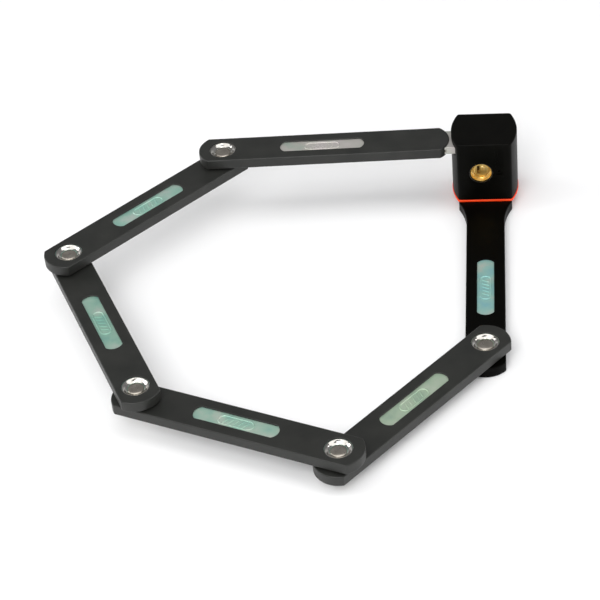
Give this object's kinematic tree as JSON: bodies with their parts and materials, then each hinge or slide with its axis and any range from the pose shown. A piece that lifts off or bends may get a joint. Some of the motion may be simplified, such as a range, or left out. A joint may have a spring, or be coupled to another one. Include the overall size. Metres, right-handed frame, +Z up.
{
  "type": "folding bike lock",
  "caption": "Folding bike lock: covered steel bars riveted in a chain to a lock head with a key cylinder; the last bar ends in a tongue that closes the ring.",
  "frame": {"origin": "middle of the flat underside below the lock head", "axes": "+Z up, from the arm to the top of the lock head; the keyhole faces -Y and the arm runs along -Y; the ring of bars lies on the -X side"},
  "size_m": [0.3202, 0.324, 0.0568],
  "materials": {
    "bar_cover": "soft-touch, fine grain",
    "head_shell": "satin, fine grain",
    "zinc_steel": "zinc plated, pale green tint",
    "polished_cup": "polished",
    "rivet_steel": "satin",
    "head_steel": "machined",
    "spacer_plastic": "moulded",
    "brass": "machined, polished rim",
    "seam_seal": "orange-red elastomer"
  },
  "bodies": {
    "lock_head": {"arm_plate": "zinc_steel", "arm_cover": "head_shell", "rivet_1_bottom_cup": "polished_cup", "head_body": "head_steel", "socket_frame": "head_steel", "head_cap": "head_steel", "head_cover": "head_shell", "seam_gasket": "seam_seal", "cylinder_housing": "brass", "cylinder_trim": "rivet_steel", "cylinder_pin": "head_steel", "head_screw_1": "head_steel", "head_screw_2": "head_steel", "head_screw_3": "head_steel", "head_screw_4": "head_steel"},
    "bar_1": {"bar_1_plate": "zinc_steel", "bar_1_cover": "bar_cover", "rivet_1": "rivet_steel", "rivet_1_top_cup": "polished_cup", "spacer_1": "spacer_plastic", "rivet_2_bottom_cup": "polished_cup"},
    "bar_2": {"bar_2_plate": "zinc_steel", "bar_2_cover": "bar_cover", "rivet_2": "rivet_steel", "rivet_2_top_cup": "polished_cup", "spacer_2": "spacer_plastic", "rivet_3_bottom_cup": "polished_cup"},
    "bar_3": {"bar_3_plate": "zinc_steel", "bar_3_cover": "bar_cover", "rivet_3": "rivet_steel", "rivet_3_top_cup": "polished_cup", "spacer_3": "spacer_plastic", "rivet_4_bottom_cup": "polished_cup"},
    "bar_4": {"bar_4_plate": "zinc_steel", "bar_4_cover": "bar_cover", "rivet_4": "rivet_steel", "rivet_4_top_cup": "polished_cup", "spacer_4": "spacer_plastic", "rivet_5_bottom_cup": "polished_cup"},
    "bar_5": {"bar_5_plate": "zinc_steel", "bar_5_cover": "bar_cover", "tongue": "zinc_steel", "tongue_nose": "zinc_steel", "rivet_5": "rivet_steel", "rivet_5_top_cup": "polished_cup", "spacer_5": "spacer_plastic"},
    "key_plug": {"key_plug": "brass", "lock_disc_1": "brass", "lock_disc_2": "brass", "lock_disc_3": "brass", "lock_disc_4": "brass", "lock_disc_5": "brass", "plug_cam": "head_steel"},
    "locking_bolt": {"locking_bolt": "head_steel"}
  },
  "joints": [
    {"name": "rivet_1_fold", "type": "hinge", "parent": "lock_head", "child": "bar_1", "pos_m": [0, -0.1803, 0.0083], "axis": [0, 0, 1], "range_deg": [-140.25, 0]},
    {"name": "rivet_2_fold", "type": "hinge", "parent": "bar_1", "child": "bar_2", "pos_m": [-0.08952, -0.28794, 0.0173], "axis": [0, 0, 1], "range_deg": [0, 251.2]},
    {"name": "rivet_3_fold", "type": "hinge", "parent": "bar_2", "child": "bar_3", "pos_m": [-0.22027, -0.2379, 0.0263], "axis": [0, 0, 1], "range_deg": [0, 223.79]},
    {"name": "rivet_4_fold", "type": "hinge", "parent": "bar_3", "child": "bar_4", "pos_m": [-0.28006, -0.11131, 0.0353], "axis": [0, 0, 1], "range_deg": [-110.96, 0]},
    {"name": "rivet_5_fold", "type": "hinge", "parent": "bar_4", "child": "bar_5", "pos_m": [-0.18321, -0.01021, 0.0443], "axis": [0, 0, 1], "range_deg": [-150.07, 0]},
    {"name": "key_turn", "type": "hinge", "parent": "lock_head", "child": "key_plug", "pos_m": [-0.0025, 0, 0.0326], "axis": [0, 1, 0], "range_deg": [0, 90]},
    {"name": "bolt_rise", "type": "slide", "parent": "lock_head", "child": "locking_bolt", "axis": [0, 0, 1], "range_m": [0, 0.00566]}
  ],
  "couplings": [
    {"joint": "rivet_2_fold", "follows": "rivet_1_fold", "ratio": -1.791},
    {"joint": "rivet_3_fold", "follows": "rivet_1_fold", "ratio": -1.5956},
    {"joint": "rivet_4_fold", "follows": "rivet_1_fold", "ratio": 0.79109},
    {"joint": "rivet_5_fold", "follows": "rivet_1_fold", "ratio": 1.0699},
    {"joint": "bolt_rise", "follows": "key_turn", "m_per_rad": 0.0036013}
  ]
}
